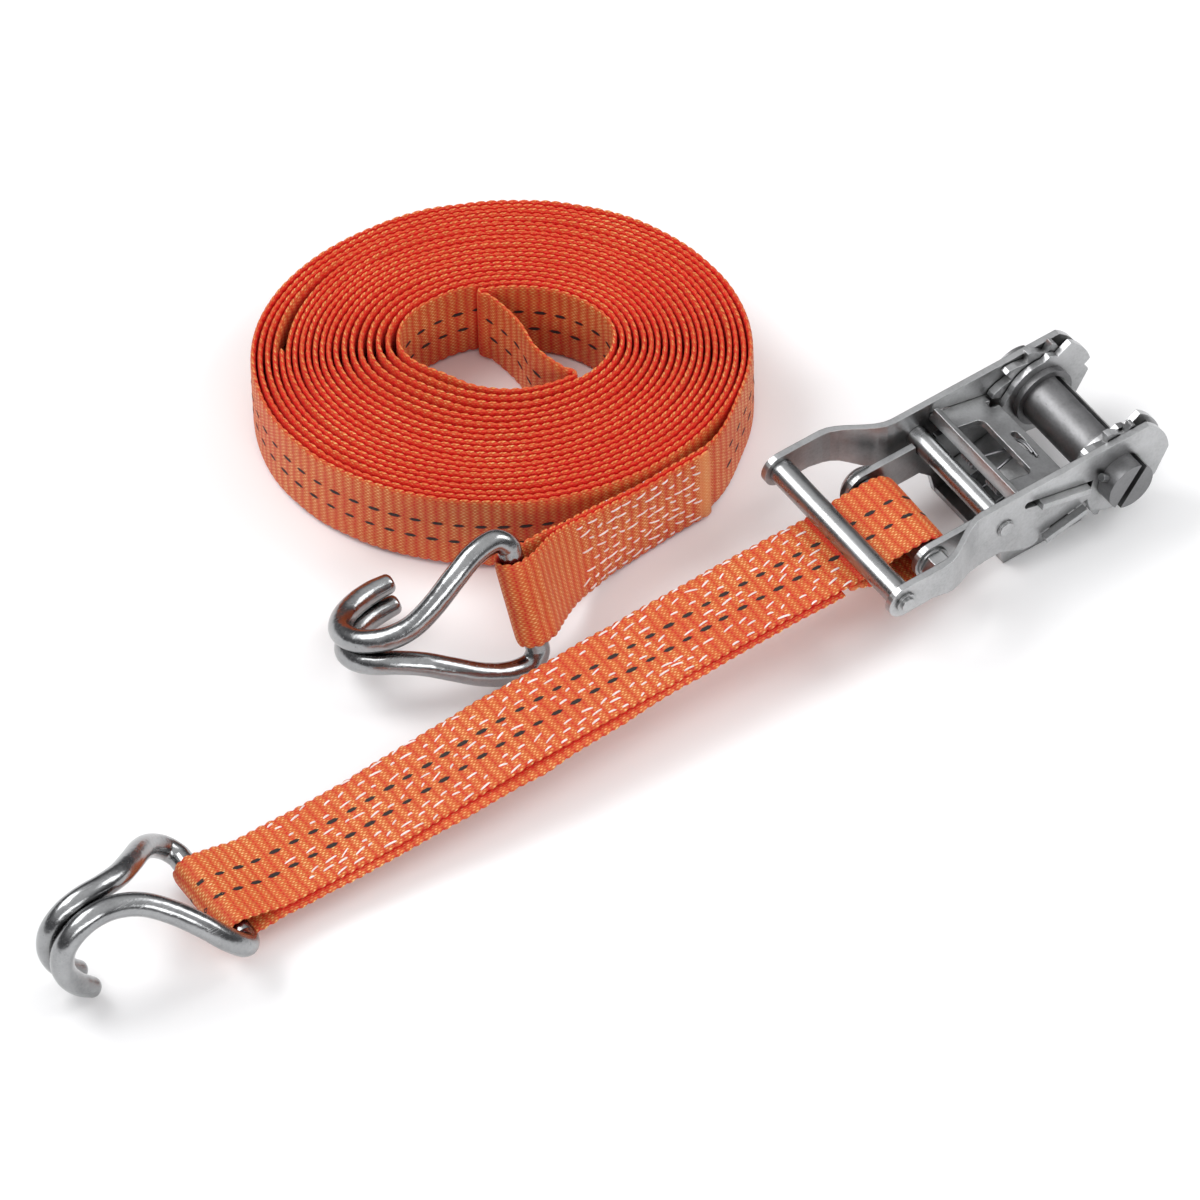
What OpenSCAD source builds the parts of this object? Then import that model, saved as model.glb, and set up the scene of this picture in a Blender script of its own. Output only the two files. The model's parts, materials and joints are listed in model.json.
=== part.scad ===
// Ratchet tie down: a pressed-steel ratchet buckle on a short sewn strap with a
// double-J hook, and a long strap wound in a coil with a hook of its own.
// The buckle is drawn about the drum axis, and at_drum() carries it to its place.
// +X runs from the fixed hook to the drum, +Y is the left side, and the floor is z = 0.

/* [Webbing] */
// Width of the webbing
web_w = 35; // [33:0.5:35]
// Thickness of one ply
ply = 2.2; // [1.8:0.1:2.3]
// Distance from the strap bolt to the bar of the fixed hook
fixed_len = 285.5; // [280:0.5:300]

/* [Buckle] */
// Thickness of the frame and handle plates
plate_t = 2.5; // [2:0.1:2.6]
// Clear width between the frame's cheeks
frame_in = 38.4; // [38:0.1:38.6]
// Clear width between the handle's plates at the drum
handle_in = 50.8; // [50.6:0.1:51.2]
// Height of the drum axis above the floor
drum_z = 22.5; // [22.5:0.1:26]
// Radius of the split drum
drum_r = 9.5; // [9:0.1:9.8]
// Width of the drum's slot
drum_slot = 3; // [2.6:0.1:3.4]
// Number of ratchet teeth
teeth = 12; // [12]
// Tip radius of the ratchet teeth
tip_r = 20.5; // [20:0.1:20.6]

/* [Hooks] */
// Wire diameter of the hooks
wire_d = 8.6; // [8:0.1:8.7]

/* [Coil] */
// Half the long side of the wound coil
coil_a = 89; // [85:0.5:91]
// Half the short side of the wound coil
coil_b = 73; // [68:0.5:74]
// Half the long side of the coil's hole
hole_a = 35; // [32:0.5:38]
// Half the short side of the coil's hole
hole_b = 22; // [20:0.5:24]

/* [Hidden] */

// Gaps: fixed fit, running fit, loose side play
fit = 0.02;
run = 0.06;
play = 0.3;

// Places across the width, as distances from the middle plane
cheek_in = frame_in / 2;
cheek_out = cheek_in + plate_t;
wheel_in = cheek_out + play;
hplate_in = handle_in / 2;
hplate_out = hplate_in + plate_t;
wheel_out = hplate_in - play;
ear_out = hplate_out + 3.1;
drum_out = hplate_out + 7;
grip_in = 36;
grip_out = grip_in + plate_t;
wide = 200;

// Places in the side view, from the drum axis
drum_x = 28;
bolt_c = [-77, 0];
bolt_r = 3;
bolt_tail = 6.6;
washer_t = 1;
sleeve_r = 5;
loop_c = [-77, -3];
loop_r = 11;
grip_c = [-101, 11];
grip_r = 4.75;
rivet_r = 2.6;
rod_c = [-50, 5.5];
rod_r = 2.9;
rod_sleeve_r = 4.1;
bush_r = 11;
bush_flange_r = 12;
slot_angle = 53;
split_pin_r = 1.5;
split_pin_half = 12.3;
split_pin_y = hplate_out + 2.4;
web_left = -46;
web_right = -12;

// Ratchet tooth: root radius, flat of the tip and phase of the first tip
root_r = 15.9;
tooth_pitch = 360 / teeth;
tooth_phase = 159.5;

// Pawls: a point on the middle plane at the ear's drum end, and the direction away from the drum
pawl_t = 2.5;
hpawl_c = [-14.7, 4];
hpawl_dir = 165.4;
hpawl_ear = 21.8;
fpawl_c = [-16, -5.85];
fpawl_dir = 192.2;
fpawl_ear = 18.4;

// Springs: axis, mean coil radius, wire radius and turns in each half
hspring_c = [-38, 2];
fspring_c = [-38, -15.4];
spring_r = 2.7;
spring_wire = 0.6;
spring_turns = 5;

// Hooks: centre line of one arm from the bar's middle to the tip (x, y, z) from the bar axis
hook_arm = [
    [0, 0, 0], [0, 17.5, 0], [-0.3, 22.5, 0.4], [-3.5, 26, 3.2], [-9.5, 24.8, 9.5],
    [-16, 20, 16.5], [-23.5, 13.5, 22.3], [-31.5, 8, 26.5], [-40, 5.2, 28.8], [-48.5, 4.45, 29.2],
    [-56, 4.4, 26.5], [-61.5, 4.4, 20.5], [-63, 4.4, 12.5], [-61.2, 4.4, 4.5], [-57, 4.4, -2.8],
    [-51, 4.4, -9]];
hook_x = bolt_c[0] - fixed_len;
hook_z = 13.5;
bar_gap = 0.3;
bar_loop_r = wire_d / 2 + bar_gap + ply;

// Fixed strap: its turn about the bolt seen from above, and its middle between the loops (x, z)
strap_yaw = 1.4;
strap_line = [
    [-106, 3.0], [-138, 3.0], [-173, 2.2], [-208, 0.4], [-243, -2.4], [-278, -6.3], [-313, -9.3],
    [-340, -10.2], [hook_x + bar_loop_r, hook_z - drum_z]];

// Loose strap: the coil's centre, its turn about Z, and the hook's bar
coil_c = [-121.3, 138.9];
coil_turn = -33;
hole_shift = [2.3, 5.9];
loose_bar = [-178, 44, 29];
loose_lean = 22.7;
loose_swing = 48;

function arc(c, r, a0, a1, n) =
    [for (i = [0:n]) let (a = a0 + (a1 - a0) * i / n) [c[0] + r * cos(a), c[1] + r * sin(a)]];

function oval(c, a, b, turn, n) =
    [for (i = [0:n - 1]) let (t = 360 * i / n, x = a * cos(t), y = b * sin(t))
        [c[0] + x * cos(turn) - y * sin(turn), c[1] + x * sin(turn) + y * cos(turn)]];

// A smooth curve through the points p, with n steps a span
function blend(a, b, c, d, t) =
    0.5 * (2 * b + (c - a) * t + (2 * a - 5 * b + 4 * c - d) * t * t
        + (3 * b - a - 3 * c + d) * t * t * t);
function smooth(p, n) =
    let (m = len(p) - 1)
    concat([for (i = [0:m - 1], k = [0:n - 1])
        blend(p[max(i - 1, 0)], p[i], p[i + 1], p[min(i + 2, m)], k / n)], [p[m]]);

function unit(v) = v / norm(v);
function flip_y(p) = [p[0], -p[1], p[2]];
function backwards(p) = [for (i = [len(p) - 1:-1:0]) p[i]];

module at_drum() {
    translate([drum_x, 0, drum_z]) children();
}

// A side-view outline made solid from y0 to y1
module slab(y0, y1) {
    translate([0, y1, 0]) rotate([90, 0, 0]) linear_extrude(y1 - y0) children();
}

// The same on both sides of the middle plane
module both_slabs(y0, y1) {
    slab(y0, y1) children();
    slab(-y1, -y0) children();
}

module disc(c, r) {
    translate(c) circle(r, $fn = 64);
}

// A band in the side view from u0 to u1 along dir, starting at c
module band(c, dir, u0, u1, half) {
    translate(c) rotate(dir) translate([u0, -half]) square([u1 - u0, 2 * half]);
}

// A round tube of wire along the points p
module wire(p, r, sides) {
    n = len(p);
    rings = [for (i = [0:n - 1])
        let (
            t = unit(p[min(i + 1, n - 1)] - p[max(i - 1, 0)]),
            s = unit(cross(t, [0.31, 0.08, 0.95])),
            w = cross(s, t)
        )
        for (k = [0:sides - 1]) p[i] + r * (cos(360 * k / sides) * s + sin(360 * k / sides) * w)];
    sides_f = [for (i = [0:n - 2], k = [0:sides - 1])
        [i * sides + k, i * sides + (k + 1) % sides,
         (i + 1) * sides + (k + 1) % sides, (i + 1) * sides + k]];
    cap0 = [[for (k = [sides - 1:-1:0]) k]];
    cap1 = [[for (k = [0:sides - 1]) (n - 1) * sides + k]];
    polyhedron(rings, concat(sides_f, cap0, cap1), convexity = 8);
}

// ---- Frame ----

module cheek_outline() {
    difference() {
        polygon(concat(
            arc(bolt_c, 7.4, 90, 270, 16),
            [[-53, -7.4], [-48, -12.5], [web_left, -drum_z], [web_right, -drum_z], [-9.5, -17.2]],
            arc([0, 0], 17.6, 252, 297, 6),
            [[15.2, -11.2], [21.2, -1.2], [21, -0.2], [18.6, 1.9], [21.9, 4.4]],
            arc([0, 0], 22.4, 12, 53, 8),
            [[7.8, 14.3]],
            arc([0, 0], 17, 66, 76, 2),
            arc([0, 0], 15.2, 84, 150, 10),
            [[-17, 3.4], [-24, 4.2], [rod_c[0] + 4.5, 7.2]],
            arc(rod_c, 4.5, 0, -180, 10),
            [[rod_c[0] - 4.5, 7.4]]));
        disc([0, 0], bush_r + fit);
        disc(bolt_c, bolt_r + fit);
        disc(fspring_c, 1.5 + fit);
        band(fpawl_c, fpawl_dir, 1, 23, pawl_t / 2 + play);
    }
}

module frame() {
    color("silver") at_drum() {
        both_slabs(cheek_in, cheek_out) cheek_outline();
        slab(-cheek_in, cheek_in) translate([web_left, -drum_z])
            square([web_right - web_left, plate_t]);
    }
}

module strap_bolt() {
    // A domed head on the left; cap_r is the radius of its sphere
    head_r = 8.8;
    head_h = 4.8;
    cap_r = (head_r * head_r + head_h * head_h) / (2 * head_h);
    color("gainsboro") at_drum() {
        slab(-cheek_out - bolt_tail, cheek_out + fit) disc(bolt_c, bolt_r);
        translate([bolt_c[0], cheek_out + fit, bolt_c[1]]) rotate([-90, 0, 0]) intersection() {
            translate([0, 0, head_h - cap_r]) sphere(cap_r, $fn = 64);
            cylinder(r = head_r + 1, h = head_h + 1, $fn = 64);
        }
    }
}

module bolt_sleeve() {
    color("darkgray") at_drum() slab(-cheek_in + play, cheek_in - play) difference() {
        disc(bolt_c, sleeve_r);
        disc(bolt_c, bolt_r + fit);
    }
}

module bolt_washer() {
    color("silver") at_drum() slab(-cheek_out - washer_t, -cheek_out - fit) difference() {
        disc(bolt_c, 6.2);
        disc(bolt_c, bolt_r + fit);
    }
}

module bolt_nut() {
    color("silver") at_drum() slab(-cheek_out - 5.4, -cheek_out - washer_t - fit) difference() {
        translate(bolt_c) circle(5.7, $fn = 6);
        disc(bolt_c, bolt_r + fit);
    }
}

module drum_bush(side) {
    y_in = cheek_in - 2.7;
    color("darkgray") at_drum() mirror([0, side < 0 ? 1 : 0, 0]) difference() {
        union() {
            slab(y_in, cheek_in - fit) disc([0, 0], bush_flange_r);
            slab(cheek_in - fit, cheek_out) disc([0, 0], bush_r);
        }
        slab(y_in - 1, cheek_out + 1) disc([0, 0], drum_r + run);
    }
}

// ---- Frame pawl and its spring ----

// The pawl's outline at one band of the width, from u0 to u1 along its travel
module fpawl_band(y0, y1, u0, u1) {
    both_slabs(y0, y1) band(fpawl_c, fpawl_dir, u0, u1, pawl_t / 2);
}

module frame_pawl() {
    inner = cheek_in - play;
    color("silver") at_drum() {
        difference() {
            slab(-inner, inner) band(fpawl_c, fpawl_dir, 2.5, 30, pawl_t / 2);
            slab(-9, 9) band(fpawl_c, fpawl_dir, 15, 24, pawl_t);
        }
        fpawl_band(inner, wheel_in, 4.2, fpawl_ear);
        fpawl_band(wheel_in, wheel_out, 4.2, fpawl_ear);
        fpawl_band(wheel_out, hplate_out + play, 6.4, 14.2);
        fpawl_band(hplate_out + play, ear_out, 0, fpawl_ear);
    }
}

// Close turns of wire about Y from y0 towards y1
module turns(c, y0, y1) {
    step = (y1 - y0) / spring_turns;
    for (i = [0:spring_turns - 1])
        translate([c[0], y0 + step * (i + 0.5), c[1]]) rotate([90, 0, 0])
            rotate_extrude($fn = 48) translate([spring_r, 0]) circle(spring_wire, $fn = 16);
}

module leg(p, q) {
    d = q - p;
    translate(p) rotate([0, acos(d[2] / norm(d)), atan2(d[1], d[0])])
        cylinder(r = spring_wire, h = norm(d), $fn = 16);
}

module frame_spring() {
    color("dimgray") at_drum() {
        turns(fspring_c, 3.5, 11);
        turns(fspring_c, -3.5, -11);
        for (y = [-4.2, 4.2])
            leg([fspring_c[0], y, fspring_c[1] + spring_r], [-27, y, -10.9]);
    }
}

module frame_spring_pin() {
    color("darkgray") at_drum() slab(-cheek_out - 0.2, cheek_out + 0.2) disc(fspring_c, 1.5);
}

// ---- Drum ----

// The upper half of the split drum's section, grown by g
module half_round(g) {
    rotate(slot_angle + 90) intersection() {
        circle(drum_r + g, $fn = 96);
        translate([drum_slot / 2 - g, -drum_r - 1]) square([drum_r + 1, 2 * drum_r + 2]);
    }
}

module drum_half(turn) {
    color("lightgray") at_drum() difference() {
        slab(-drum_out, drum_out) rotate(turn) half_round(0);
        for (side = [-1, 1])
            split_pin_place(side) cylinder(r = split_pin_r + fit, h = 40, center = true, $fn = 32);
    }
}

module split_pin_place(side) {
    translate([0, side * split_pin_y, 0]) rotate([0, -slot_angle, 0]) children();
}

module split_pin(side) {
    color("gainsboro") at_drum() split_pin_place(side) difference() {
        cylinder(r = split_pin_r, h = 2 * split_pin_half, center = true, $fn = 32);
        translate([0, 0, -split_pin_half]) cube([0.4, 4, 8], center = true);
    }
}

module wheel_outline() {
    polygon([for (k = [0:teeth - 1], p = [
        [tip_r, 0], [tip_r - 0.2, -5], [root_r + 2.4, -14], [root_r + 0.4, -24], [root_r, -27.5]])
        let (a = tooth_phase - k * tooth_pitch + p[1]) p[0] * [cos(a), sin(a)]]);
}

module ratchet_wheel(side) {
    color("darkgray") at_drum() mirror([0, side < 0 ? 1 : 0, 0])
        slab(wheel_in, wheel_out) difference() {
            wheel_outline();
            half_round(fit);
            rotate(180) half_round(fit);
        }
}

// ---- Handle ----

module handle_outline() {
    notch_z = function(x) fpawl_c[1] + pawl_t / 2 + 0.45 + (fpawl_c[0] - x) * tan(180 - fpawl_dir);
    difference() {
        polygon(concat(
            arc([0, 0], 21.7, 5, 54, 12),
            arc(grip_c, 6.8, 90, 262, 14),
            [[-89, 4.6], [-77, 1.4], [-69.5, -2.2], [-64, -5.8], [-60.5, -6.7], [-52, -6.4],
             [-46, -9.8], [-41.5, -12.2], [-37.4, -12.4], [-35.6, -11.4], [-35, notch_z(-35)],
             [-14, notch_z(-14)], [-13.4, -7.9], [-11.8, -11.2]],
            arc([0, 0], 15.9, 230, 298, 8),
            [[15.8, -10], [21.6, 0.8]]));
        disc([0, 0], drum_r + run);
        disc(rod_c, rod_r + fit);
        disc(grip_c, rivet_r + fit);
        band(hpawl_c, hpawl_dir, -2.9, hpawl_ear + 4.2, pawl_t / 2 + play);
        translate(hpawl_c) rotate(hpawl_dir) translate([hpawl_ear + 4.2, 0])
            circle(pawl_t / 2 + play, $fn = 32);
    }
}

// Plan of one plate: straight at the drum, then flared out to the grip
module handle_plan() {
    bend = [for (i = [0:8])
        let (t = i / 8, s = t * t * (3 - 2 * t))
        [-59 - 24 * t, hplate_in + (grip_in - hplate_in) * s]];
    path = concat([[30, hplate_in]], bend, [[-112, grip_in]]);
    n = len(path);
    outer = [for (i = [n - 1:-1:0]) path[i] + [0, plate_t]];
    polygon(concat(path, outer));
}

module handle_plate(side) {
    color("silver") at_drum() mirror([0, side < 0 ? 1 : 0, 0]) intersection() {
        slab(0, wide) handle_outline();
        translate([0, 0, -60]) linear_extrude(120) handle_plan();
    }
}

module grip_tube() {
    color("gainsboro") at_drum() slab(-grip_in + 0.1, grip_in - 0.1) difference() {
        disc(grip_c, grip_r);
        disc(grip_c, rivet_r + fit);
    }
}

module grip_rivet() {
    color("silver") at_drum() {
        slab(-grip_out - 2.2, grip_out + 2.2) disc(grip_c, rivet_r);
        both_slabs(grip_out + fit, grip_out + 1.1) disc(grip_c, 3.9);
    }
}

module cross_rod() {
    color("silver") at_drum() {
        slab(-hplate_out - 1.3, hplate_out + 1.3) disc(rod_c, rod_r);
        both_slabs(hplate_out + fit, hplate_out + 0.7) disc(rod_c, 3.4);
    }
}

module cross_sleeve() {
    color("gainsboro") at_drum() slab(-hplate_in + 0.1, hplate_in - 0.1) difference() {
        disc(rod_c, rod_sleeve_r);
        disc(rod_c, rod_r + fit);
    }
}

// ---- Handle pawl and its spring ----

module hpawl_band(y0, y1, u0, u1) {
    both_slabs(y0, y1) band(hpawl_c, hpawl_dir, u0, u1, pawl_t / 2);
}

// A hole through the pawl's plate with round ends, from u0 to u1 and y0 to y1
module hpawl_hole(u0, u1, y0, y1, r) {
    translate([hpawl_c[0], 0, hpawl_c[1]]) rotate([0, -hpawl_dir, 0])
        for (s = [0, 1]) translate([0, 0, -5]) {
            translate([u0 + s * r, y0 + (1 - s) * r, 0])
                cube([u1 - u0 - 2 * s * r, y1 - y0 - 2 * (1 - s) * r, 10]);
            for (y = [y0 + r, y1 - r])
                translate([s == 0 ? u0 + r : u1 - r, y, 0]) cylinder(r = r, h = 10, $fn = 32);
        }
}

module handle_pawl() {
    inner = cheek_in - play;
    lip_u = 30.5;
    color("gainsboro") at_drum() {
        difference() {
            slab(-inner, inner) band(hpawl_c, hpawl_dir, 4, lip_u, pawl_t / 2);
            hpawl_hole(14.5, 27.3, -15.3, 15.3, 2.6);
            hpawl_hole(6.8, 10, -5.2, 5.2, 1.5);
        }
        hpawl_band(inner, wheel_in, 8, lip_u);
        hpawl_band(wheel_in, wheel_out, 5.8, lip_u);
        hpawl_band(wheel_out, ear_out, 0, hpawl_ear);
        slab(-wheel_out + 1, wheel_out - 1) translate(hpawl_c) rotate(hpawl_dir)
            translate([lip_u - 2, -4.4]) square([2, 4.4]);
    }
}

module handle_spring() {
    color("dimgray") at_drum() {
        turns(hspring_c, 3.5, 11.5);
        turns(hspring_c, -3.5, -11.5);
        for (s = [-1, 1])
            leg([hspring_c[0], 4.2 * s, hspring_c[1] + spring_r - 0.1], [-24.4, 1.2 * s, 3.9]);
    }
}

// ---- Fixed strap and hook ----

// Turned with the strap about the upright line through the bolt
module at_strap() {
    bolt_x = bolt_c[0] + drum_x;
    translate([bolt_x, 0, 0]) rotate([0, 0, -strap_yaw]) translate([-bolt_x, 0, 0]) children();
}

module fixed_strap() {
    mid = smooth(strap_line, 3);
    bar = [hook_x, hook_z - drum_z];
    band_top = [for (p = mid) p + [0, ply]];
    band_low = backwards([for (p = mid) p - [0, ply]]);
    // The loop's ends, just inside its circle
    end_top = [cos(94), sin(94)] * 0.99;
    end_low = [cos(239), sin(239)] * 0.99;
    inner_r = loop_r - ply;
    bar_hole = wire_d / 2 + bar_gap;
    color("orangered") at_strap() at_drum() slab(-web_w / 2, web_w / 2) difference() {
        union() {
            disc(loop_c, loop_r);
            polygon(concat(
                [loop_c + loop_r * end_top],
                band_top, [bar + [0, bar_loop_r]], [bar - [0, bar_loop_r]], band_low,
                [loop_c + loop_r * end_low]));
            disc(bar, bar_loop_r);
        }
        disc(loop_c, inner_r);
        polygon([loop_c + inner_r * end_top, strap_line[0] - [6, 0.3],
                 loop_c + inner_r * end_low]);
        disc(bar, bar_hole);
        polygon([bar + bar_hole * [0.2, 0.95], bar + [10, 0], bar + bar_hole * [0.2, -0.95]]);
    }
}

// One bent wire: the bar lies along Y and the hook reaches towards -X
module hook() {
    half = smooth(hook_arm, 3);
    line = concat(backwards([for (p = half) flip_y(p)]),
        [for (i = [1:len(half) - 1]) half[i]]);
    wire(line, wire_d / 2, 12);
}

module fixed_hook() {
    color("lightgray") at_strap() translate([hook_x + drum_x, 0, hook_z]) hook();
}

// ---- Loose strap and hook ----

hole_c = coil_c + hole_shift[0] * [cos(coil_turn), sin(coil_turn)]
    + hole_shift[1] * [-sin(coil_turn), cos(coil_turn)];

module loose_strap_coil() {
    color("orangered") linear_extrude(web_w) difference() {
        polygon(oval(coil_c, coil_a, coil_b, coil_turn, 72));
        polygon(oval(hole_c, hole_a, hole_b, coil_turn, 48));
    }
}

// The strap's middle crosses the hole from one side to the other
module loose_strap_core() {
    color("orangered") translate([hole_c[0], hole_c[1], 0]) rotate([0, 0, coil_turn - 53])
        translate([-20, -2.4, 0]) cube([42, 4.8, web_w]);
}

// One section of the tail across x, placed and leaning as p says, of thickness t
module tail_section(p, t) {
    translate([p[0], p[1], p[2]]) rotate([-p[3], 0, 0]) cube([0.2, t, web_w - 0.2], center = true);
}

// A single ply leaves the coil, is doubled from x = -91, and twists on its way to the hook
module loose_strap_tail() {
    mid_z = web_w / 2 + 0.2;
    // Sections of the doubled part: x, y, z, lean
    doubled = [
        [-91, 58.2, mid_z, 0], [-119, 57.4, mid_z, 0], [-134, 56.5, 18.7, 4], [-148, 53.8, 21.3, 10],
        [-160, 49.6, 25, 17],
        [loose_bar[0] + bar_loop_r, loose_bar[1] + 0.2, loose_bar[2] - 0.3, loose_lean]];
    color("orangered") {
        hull() {
            tail_section([-76, 62.8, mid_z, 0], ply);
            tail_section([-90.9, 59.3, mid_z, 0], ply);
        }
        for (i = [1:len(doubled) - 1]) hull() {
            tail_section(doubled[i - 1], 2 * ply);
            tail_section(doubled[i], 2 * ply);
        }
    }
}

module loose_hook() {
    color("lightgray") translate(loose_bar) rotate([90 - loose_lean, 0, 0])
        rotate([0, -loose_swing, 0]) hook();
}

frame();
strap_bolt();
bolt_sleeve();
bolt_washer();
bolt_nut();
drum_bush(1);  // drum_bush_left
drum_bush(-1);  // drum_bush_right
frame_pawl();
frame_spring();
frame_spring_pin();
drum_half(0);  // drum_half_upper
drum_half(180);  // drum_half_lower
ratchet_wheel(1);  // ratchet_wheel_left
ratchet_wheel(-1);  // ratchet_wheel_right
split_pin(1);  // split_pin_left
split_pin(-1);  // split_pin_right
handle_plate(1);  // handle_plate_left
handle_plate(-1);  // handle_plate_right
grip_tube();
grip_rivet();
cross_rod();
cross_sleeve();
handle_pawl();
handle_spring();
fixed_strap();
fixed_hook();
loose_strap_coil();
loose_strap_core();
loose_strap_tail();
loose_hook();
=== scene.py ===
import json
import math
import bpy
import numpy as np
from mathutils import Matrix, Vector


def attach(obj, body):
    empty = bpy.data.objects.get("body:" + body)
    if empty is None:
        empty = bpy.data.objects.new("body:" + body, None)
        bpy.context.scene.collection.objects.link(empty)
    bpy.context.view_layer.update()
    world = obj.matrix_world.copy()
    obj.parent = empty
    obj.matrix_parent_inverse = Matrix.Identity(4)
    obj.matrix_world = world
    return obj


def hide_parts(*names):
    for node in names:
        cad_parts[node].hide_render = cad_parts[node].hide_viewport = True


# Looks of the ratchet tie down. Metres, row frame: +X from the fixed hook to the drum, +Z up.
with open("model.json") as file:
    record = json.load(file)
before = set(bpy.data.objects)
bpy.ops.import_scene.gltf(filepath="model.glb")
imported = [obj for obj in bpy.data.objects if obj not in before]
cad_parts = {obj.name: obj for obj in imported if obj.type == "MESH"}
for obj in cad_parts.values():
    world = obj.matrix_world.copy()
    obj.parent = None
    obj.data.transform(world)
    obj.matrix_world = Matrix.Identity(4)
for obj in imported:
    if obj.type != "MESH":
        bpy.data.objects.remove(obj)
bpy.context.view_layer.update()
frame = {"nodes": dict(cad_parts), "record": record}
nodes = frame["nodes"]
MM = 0.001
rng = np.random.default_rng(7)
scene = bpy.context.scene


# ---------------------------------------------------------------- camera, light and floor

def make_camera():
    az, el, roll = math.radians(-33.89), math.radians(49.86), math.radians(1.51)
    target, distance = Vector((-0.14317, 0.04784, 0)), 4.2298
    focal_px, picture_px, sensor = 12000, 1200, 36
    right = Vector((math.cos(-az), -math.sin(-az), 0))
    look = Vector((math.sin(-az) * math.cos(el), math.cos(-az) * math.cos(el), -math.sin(el)))
    up = right.cross(look)
    right, up = (right * math.cos(roll) - up * math.sin(roll),
                 right * math.sin(roll) + up * math.cos(roll))
    data = bpy.data.cameras.new("camera")
    data.sensor_width, data.lens = sensor, sensor * focal_px / picture_px
    data.clip_end = 50
    camera = bpy.data.objects.new("camera", data)
    scene.collection.objects.link(camera)
    turn = Matrix((right, up, -look)).transposed().to_4x4()
    camera.matrix_world = Matrix.Translation(target - look * distance) @ turn
    scene.camera = camera


def softbox(name, at, aim, size, watts):
    data = bpy.data.lights.new(name, "AREA")
    data.shape, data.size, data.size_y, data.energy = "RECTANGLE", size[0], size[1], watts
    light = bpy.data.objects.new(name, data)
    scene.collection.objects.link(light)
    light.location = at
    light.rotation_euler = (Vector(aim) - Vector(at)).to_track_quat("-Z", "Y").to_euler()


class Nodes:
    """A short way to build a node tree: calls return the new node's first output."""

    def __init__(self, tree):
        self.tree = tree

    def link(self, value, socket):
        self.tree.links.new(value, socket)

    def add(self, kind, inputs=(), out=0, **props):
        node = self.tree.nodes.new("ShaderNode" + kind)
        for key, value in props.items():
            setattr(node, key, value)
        for key, value in dict(inputs).items():
            if isinstance(value, bpy.types.NodeSocket):
                self.link(value, node.inputs[key])
            else:
                node.inputs[key].default_value = value
        return node.outputs[out]

    def math(self, op, a, b=0.0, clamp=False):
        return self.add("Math", {0: a, 1: b}, operation=op, use_clamp=clamp)

    def ramp(self, value, stops):
        node = self.tree.nodes.new("ShaderNodeValToRGB")
        self.link(value, node.inputs[0])
        ends = node.color_ramp.elements
        while len(ends) < len(stops):
            ends.new(0.5)
        for end, (at, colour) in zip(ends, stops):
            end.position = at
            end.color = (*colour, 1)
        return node.outputs[0]

    def mix(self, factor, a, b):
        """Colour a where the factor is 0 and colour b where it is 1."""
        node = self.tree.nodes.new("ShaderNodeMix")
        node.data_type = "RGBA"
        for socket, value in ((0, factor), (6, a), (7, b)):
            if isinstance(value, bpy.types.NodeSocket):
                self.link(value, node.inputs[socket])
            elif isinstance(value, tuple):
                node.inputs[socket].default_value = (*value, 1)
            else:
                node.inputs[socket].default_value = value
        return node.outputs[2]


def new_material(name):
    material = bpy.data.materials.new(name)
    material.use_nodes = True
    tree = material.node_tree
    return material, Nodes(tree), tree.nodes["Principled BSDF"]


def make_world():
    world = bpy.data.worlds.new("studio")
    scene.world = world
    world.use_nodes = True
    n = Nodes(world.node_tree)
    way = n.add("TexCoord")
    height = n.add("SeparateXYZ", {0: way}, out=2)
    band = n.ramp(height, [
        (0.0, (0.22, 0.22, 0.23)), (0.20, (0.10, 0.10, 0.105)), (0.42, (0.16, 0.16, 0.165)),
        (0.60, (0.62, 0.62, 0.63)), (0.80, (0.95, 0.95, 0.96)), (1.0, (1.0, 1.0, 1.0))])
    background = world.node_tree.nodes["Background"]
    n.link(band, background.inputs[0])
    background.inputs[1].default_value = 0.9


def make_floor():
    half = 6
    mesh = bpy.data.meshes.new("floor")
    mesh.from_pydata([(-half, -half, 0), (half, -half, 0), (half, half, 0), (-half, half, 0)], [],
                     [(0, 1, 2, 3)])
    floor = bpy.data.objects.new("floor", mesh)
    scene.collection.objects.link(floor)
    floor.location.z = -0.3 * MM
    material, n, shader = new_material("pale_paper")
    grain = n.add("TexNoise", {"Vector": n.add("TexCoord", out=3), "Scale": 900.0, "Detail": 2.0})
    shader.inputs["Base Color"].default_value = (0.92, 0.92, 0.925, 1)
    shader.inputs["Roughness"].default_value = 0.75
    bump = n.add("Bump", {"Height": grain, "Strength": 0.03, "Distance": 0.0002})
    n.link(bump, shader.inputs["Normal"])
    mesh.materials.append(material)


make_camera()
make_world()
make_floor()
scene.view_settings.view_transform = "Standard"
softbox("key", (-0.9, 1.1, 1.6), (-0.1, 0.05, 0), (1.3, 1.0), 21)
softbox("side", (1.3, -0.5, 1.3), (0, 0, 0), (0.8, 1.2), 13)
softbox("front", (-0.9, -1.5, 1.0), (-0.15, 0, 0), (1.6, 0.5), 14)


# ---------------------------------------------------------------- materials

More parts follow.
